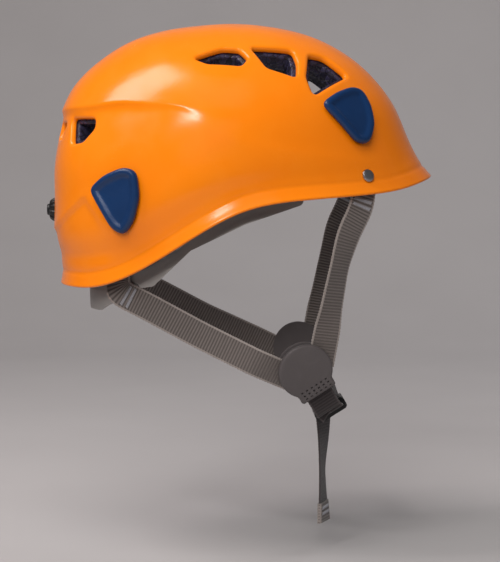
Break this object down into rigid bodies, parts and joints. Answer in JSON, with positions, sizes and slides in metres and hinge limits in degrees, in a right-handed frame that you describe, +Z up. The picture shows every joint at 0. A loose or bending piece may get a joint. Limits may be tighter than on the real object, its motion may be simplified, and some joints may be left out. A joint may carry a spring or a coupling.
{
  "type": "climbing helmet",
  "caption": "Hard-shell climbing helmet with foam liner, vents, lamp clips, knob-adjusted nape cradle and buckled Y-strap chin harness.",
  "frame": {"origin": "The head seat: the point in the middle plane where the centre of the wearer's head sits, level with the rim at the ears.", "axes": "+X is forward, -Y is the wearer's right, +Z is up, with the helmet worn."},
  "size_m": [0.2916, 0.2192, 0.377],
  "materials": {
    "shell_orange": "glossy injection-moulded",
    "liner_foam": "expanded bead foam",
    "clip_blue": "satin moulded",
    "rivet_steel": "satin",
    "grey_moulded": "fine-grained moulded",
    "cradle_grey": "fine-grained moulded",
    "black_moulded": "fine-grained moulded",
    "webbing_grey": "woven ribbed webbing",
    "pad_fabric": "brushed knit over foam",
    "screw_steel": "machined"
  },
  "bodies": {
    "helmet": {"shell": "shell_orange", "foam_liner": "liner_foam", "forehead_band": "cradle_grey", "brow_pad": "pad_fabric", "crown_pads": "pad_fabric", "adjuster_housing": "black_moulded", "adjuster_cover": "black_moulded", "adjuster_screws": "screw_steel", "shaft_bushing": "black_moulded", "buckle_socket": "black_moulded", "chin_strap_short": "webbing_grey", "lamp_clip_front_right": "clip_blue", "lamp_clip_rear_right": "clip_blue", "strap_rivet_right": "rivet_steel", "rivet_washers_right": "rivet_steel", "cradle_stud_right": "black_moulded", "front_strap_right": "webbing_grey", "rear_strap_right": "webbing_grey", "rear_anchor_right": "black_moulded", "yoke_disc_back_right": "grey_moulded", "yoke_disc_cap_right": "grey_moulded", "lamp_clip_front_left": "clip_blue", "lamp_clip_rear_left": "clip_blue", "strap_rivet_left": "rivet_steel", "rivet_washers_left": "rivet_steel", "cradle_stud_left": "black_moulded", "front_strap_left": "webbing_grey", "rear_strap_left": "webbing_grey", "rear_anchor_left": "black_moulded", "yoke_disc_back_left": "grey_moulded", "yoke_disc_cap_left": "grey_moulded"},
    "knob": {"adjuster_knob": "black_moulded", "pinion_shaft": "grey_moulded", "knob_screw": "screw_steel"},
    "cradle_right_half": {"cradle_right": "cradle_grey", "nape_pad_right": "pad_fabric"},
    "cradle_left_half": {"cradle_left": "cradle_grey", "nape_pad_left": "pad_fabric"},
    "plug": {"buckle_plug": "black_moulded", "chin_strap": "webbing_grey", "strap_tail": "webbing_grey"},
    "latch_front": {"latch_arm_front": "black_moulded"},
    "latch_rear": {"latch_arm_rear": "black_moulded"}
  },
  "joints": [
    {"name": "knob_turn", "type": "hinge", "parent": "helmet", "child": "knob", "pos_m": [-0.13, 0, -0.011], "axis": [-1, 0, 0], "range_deg": [0, 51.5]},
    {"name": "cradle_right_slide", "type": "slide", "parent": "helmet", "child": "cradle_right_half", "axis": [0, 1, 0], "range_m": [0, 0.0036]},
    {"name": "cradle_left_slide", "type": "slide", "parent": "helmet", "child": "cradle_left_half", "axis": [0, -1, 0], "range_m": [0, 0.0036]},
    {"name": "buckle_release", "type": "slide", "parent": "helmet", "child": "plug", "axis": [0, 0.9988, -0.0499], "range_m": [0, 0.028], "deforming": ["chin_strap", "latch_arm_front", "latch_arm_rear"]},
    {"name": "latch_front_squeeze", "type": "hinge", "parent": "plug", "child": "latch_front", "pos_m": [0.0743, -0.02739, -0.15373], "axis": [0.5286, -0.0424, -0.8478], "range_deg": [0, 12], "stiffness_Nm_per_rad": 0.4},
    {"name": "latch_rear_squeeze", "type": "hinge", "parent": "plug", "child": "latch_rear", "pos_m": [0.0597, -0.02785, -0.16281], "axis": [-0.5286, 0.0424, 0.8478], "range_deg": [0, 12], "stiffness_Nm_per_rad": 0.4}
  ],
  "couplings": [
    {"joint": "cradle_right_slide", "follows": "knob_turn", "m_per_rad": 0.004},
    {"joint": "cradle_left_slide", "follows": "knob_turn", "m_per_rad": 0.004}
  ]
}
